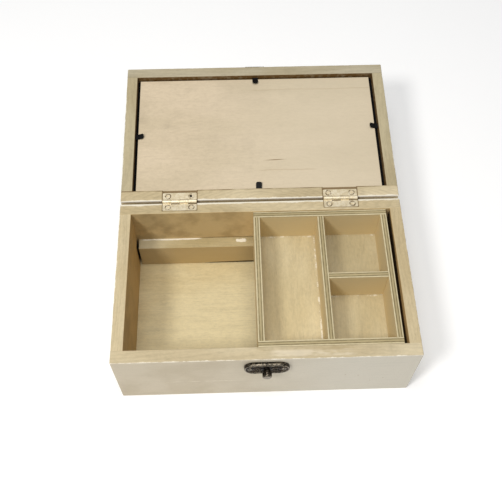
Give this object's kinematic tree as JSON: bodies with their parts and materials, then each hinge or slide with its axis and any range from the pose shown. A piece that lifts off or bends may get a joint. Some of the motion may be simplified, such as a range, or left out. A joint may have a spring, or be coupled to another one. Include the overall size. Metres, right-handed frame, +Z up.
{
  "type": "art supply box",
  "caption": "Hinged wooden art supply box with a lift-out divided tray on ledges, a picture-frame lid held open on two butt hinges, and a front latch.",
  "frame": {"origin": "centre of the base's flat underside", "axes": "+X to the right seen from the latch side, +Y from the latch towards the hinges, +Z up out of the open box"},
  "size_m": [0.23, 0.2958, 0.0785],
  "materials": {
    "carcass_wood": "raw planed light hardwood, unvarnished",
    "panel_plywood": "raw sanded plywood",
    "tray_plywood": "raw sanded plywood, striped edges",
    "hinge_brass": "pale brass-plated, satin",
    "hinge_screw_steel": "pale brass-plated, satin",
    "antique_bronze": "antiqued dark bronze with worn highlights",
    "black_tab": "black, satin",
    "clear_glazing": "clear, polished",
    "black_card": "matt black",
    "plain_paper": "matt off-white"
  },
  "bodies": {
    "base": {"base_front_wall": "carcass_wood", "base_back_wall": "carcass_wood", "base_left_wall": "carcass_wood", "base_right_wall": "carcass_wood", "base_floor": "panel_plywood", "rear_tray_ledge": "carcass_wood", "front_tray_ledge": "carcass_wood", "latch_catch_plate": "antique_bronze", "latch_catch_screws": "antique_bronze", "latch_knob": "antique_bronze", "hinge_left_base_leaf": "hinge_brass", "hinge_left_pin": "hinge_brass", "hinge_right_base_leaf": "hinge_brass", "hinge_right_pin": "hinge_brass", "hinge_base_screws": "hinge_screw_steel"},
    "lid": {"lid_front_rail": "carcass_wood", "lid_back_rail": "carcass_wood", "lid_left_rail": "carcass_wood", "lid_right_rail": "carcass_wood", "window_front_strip": "carcass_wood", "window_back_strip": "carcass_wood", "window_left_strip": "carcass_wood", "window_right_strip": "carcass_wood", "retainer_tab_anchors": "black_tab", "lid_back_panel": "panel_plywood", "lid_backing_card": "black_card", "picture_insert": "plain_paper", "lid_glazing": "clear_glazing", "hinge_left_lid_leaf": "hinge_brass", "hinge_right_lid_leaf": "hinge_brass", "hinge_lid_screws": "hinge_screw_steel", "hasp_plate": "antique_bronze", "hasp_plate_screws": "antique_bronze", "hasp_pin": "antique_bronze"},
    "hasp": {"hasp_flap": "antique_bronze"},
    "tray": {"tray_front_wall": "tray_plywood", "tray_back_wall": "tray_plywood", "tray_left_wall": "tray_plywood", "tray_right_wall": "tray_plywood", "tray_floor": "tray_plywood", "tray_long_divider": "tray_plywood", "tray_cross_divider": "tray_plywood"},
    "tab_front": {"retainer_tab_front": "black_tab"},
    "tab_back": {"retainer_tab_back": "black_tab"},
    "tab_left": {"retainer_tab_left": "black_tab"},
    "tab_right": {"retainer_tab_right": "black_tab"}
  },
  "joints": [
    {"name": "lid_hinge", "type": "hinge", "parent": "base", "child": "lid", "pos_m": [0, 0.0707, 0.0703], "axis": [1, 0, 0], "range_deg": [0, 176.5]},
    {"name": "hasp_swing", "type": "hinge", "parent": "lid", "child": "hasp", "pos_m": [0, 0.21508, 0.07182], "axis": [1, 0, 0], "range_deg": [0, 180]},
    {"name": "tray_slide", "type": "slide", "parent": "base", "child": "tray", "axis": [-1, 0, 0], "range_m": [0, 0.0975]},
    {"name": "tab_front_bend", "type": "hinge", "parent": "lid", "child": "tab_front", "pos_m": [0, 0.20059, 0.07444], "axis": [-1, 0, 0], "range_deg": [0, 18]},
    {"name": "tab_back_bend", "type": "hinge", "parent": "lid", "child": "tab_back", "pos_m": [-0.0004, 0.08241, 0.06721], "axis": [1, 0, 0], "range_deg": [0, 18]},
    {"name": "tab_left_bend", "type": "hinge", "parent": "lid", "child": "tab_left", "pos_m": [-0.1055, 0.1387, 0.07065], "axis": [0, -0.9981, -0.061], "range_deg": [0, 18]},
    {"name": "tab_right_bend", "type": "hinge", "parent": "lid", "child": "tab_right", "pos_m": [0.1055, 0.14519, 0.07105], "axis": [0, 0.9981, 0.061], "range_deg": [0, 18]}
  ]
}
